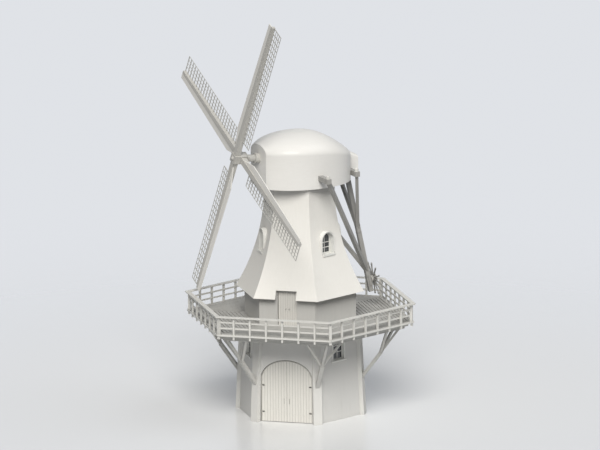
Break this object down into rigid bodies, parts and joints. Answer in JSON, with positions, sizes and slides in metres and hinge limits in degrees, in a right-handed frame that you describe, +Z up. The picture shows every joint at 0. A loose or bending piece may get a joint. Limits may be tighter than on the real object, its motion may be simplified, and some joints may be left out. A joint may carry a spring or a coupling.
{
  "type": "six-sided smock windmill with a gallery",
  "caption": "Gallery smock mill: battered base with cart doors, bracketed gallery, curved smock, turning cap with lattice sails, tail pole and winch.",
  "frame": {"origin": "centre of the base on the ground", "axes": "+Z up, -Y out of the front face with its cart doors, +X to the right seen from the front"},
  "size_m": [14.3761, 14.363, 22.7182],
  "materials": {
    "cap_skin": "painted boarding",
    "corner_pilaster": "smooth lime render",
    "door_boards": "painted boards",
    "floor_boards": "planed boards, limewashed",
    "gallery_timber": "painted",
    "gallery_wall": "painted boarding",
    "hinge_iron": "painted",
    "rendered_masonry": "smooth lime render over brick",
    "sail_timber": "painted",
    "smock_cladding": "painted cladding",
    "stone_floor": "worn stone",
    "tail_timber": "painted",
    "window_casing": "painted",
    "window_glass": "clear, dark room behind"
  },
  "bodies": {
    "tower": {"base_wall_left_back": "rendered_masonry", "base_wall_left_front": "rendered_masonry", "base_wall_right_back": "rendered_masonry", "base_wall_right_front": "rendered_masonry", "base_window_casings": "window_casing", "cart_door_piers": "rendered_masonry", "cart_door_pintles": "hinge_iron", "corner_posts": "corner_pilaster", "curb": "tail_timber", "gallery_brackets": "gallery_timber", "gallery_corner_beams": "gallery_timber", "gallery_deck": "floor_boards", "gallery_doors": "door_boards", "gallery_edge_beams": "gallery_timber", "gallery_girts": "gallery_timber", "gallery_joists": "gallery_timber", "gallery_railing": "gallery_timber", "gallery_wall_back": "gallery_wall", "gallery_wall_front": "gallery_wall", "gallery_wall_left": "gallery_wall", "gallery_wall_right": "gallery_wall", "ground_floor": "stone_floor", "railing_corner_posts": "gallery_timber", "smock_back": "smock_cladding", "smock_floor": "floor_boards", "smock_front": "smock_cladding", "smock_left_back": "smock_cladding", "smock_left_front": "smock_cladding", "smock_right_back": "smock_cladding", "smock_right_front": "smock_cladding", "smock_window_casings": "window_casing", "stage_floor": "floor_boards", "walls_over_cart_doors": "rendered_masonry", "window_glass": "window_glass"},
    "cap": {"cap_cross_beams": "tail_timber", "cap_floor": "floor_boards", "cap_front_wall": "cap_skin", "cap_left_shell": "cap_skin", "cap_rear_bay": "cap_skin", "cap_rear_wall": "cap_skin", "cap_right_shell": "cap_skin", "neck_bearing": "sail_timber", "tail_braces": "tail_timber", "tail_pole": "tail_timber", "winch_cheeks": "tail_timber"},
    "sails": {"sail_lattice_1": "sail_timber", "sail_lattice_2": "sail_timber", "sail_lattice_3": "sail_timber", "sail_lattice_4": "sail_timber", "stocks": "sail_timber", "wind_boards": "sail_timber", "windshaft": "sail_timber"},
    "winch": {"winch_wheel": "tail_timber"},
    "cart_door_back_left": {"cart_door_back_left": "door_boards"},
    "cart_door_back_right": {"cart_door_back_right": "door_boards"},
    "cart_door_front_left": {"cart_door_front_left": "door_boards"},
    "cart_door_front_right": {"cart_door_front_right": "door_boards"}
  },
  "joints": [
    {"name": "cap_turn", "type": "hinge", "parent": "tower", "child": "cap", "pos_m": [0, 0, 13.25], "axis": [0, 0, 1], "continuous": true},
    {"name": "sails_turn", "type": "hinge", "parent": "cap", "child": "sails", "pos_m": [-2.65705, -2.29351, 14.63], "axis": [-0.7534, -0.6503, 0.0976], "continuous": true},
    {"name": "winch_turn", "type": "hinge", "parent": "cap", "child": "winch", "pos_m": [3.1715, 2.73757, 6.96], "axis": [0.7404, 0.6391, 0.2081], "continuous": true},
    {"name": "cart_door_back_left_hinge", "type": "hinge", "parent": "tower", "child": "cart_door_back_left", "pos_m": [1.46, 2.965, 1.3], "axis": [0, 0, -1], "range_deg": [0, 90]},
    {"name": "cart_door_back_right_hinge", "type": "hinge", "parent": "tower", "child": "cart_door_back_right", "pos_m": [-1.46, 2.965, 1.3], "axis": [0, 0, 1], "range_deg": [0, 90]},
    {"name": "cart_door_front_left_hinge", "type": "hinge", "parent": "tower", "child": "cart_door_front_left", "pos_m": [-1.46, -2.965, 1.3], "axis": [0, 0, -1], "range_deg": [0, 90]},
    {"name": "cart_door_front_right_hinge", "type": "hinge", "parent": "tower", "child": "cart_door_front_right", "pos_m": [1.46, -2.965, 1.3], "axis": [0, 0, 1], "range_deg": [0, 90]}
  ]
}
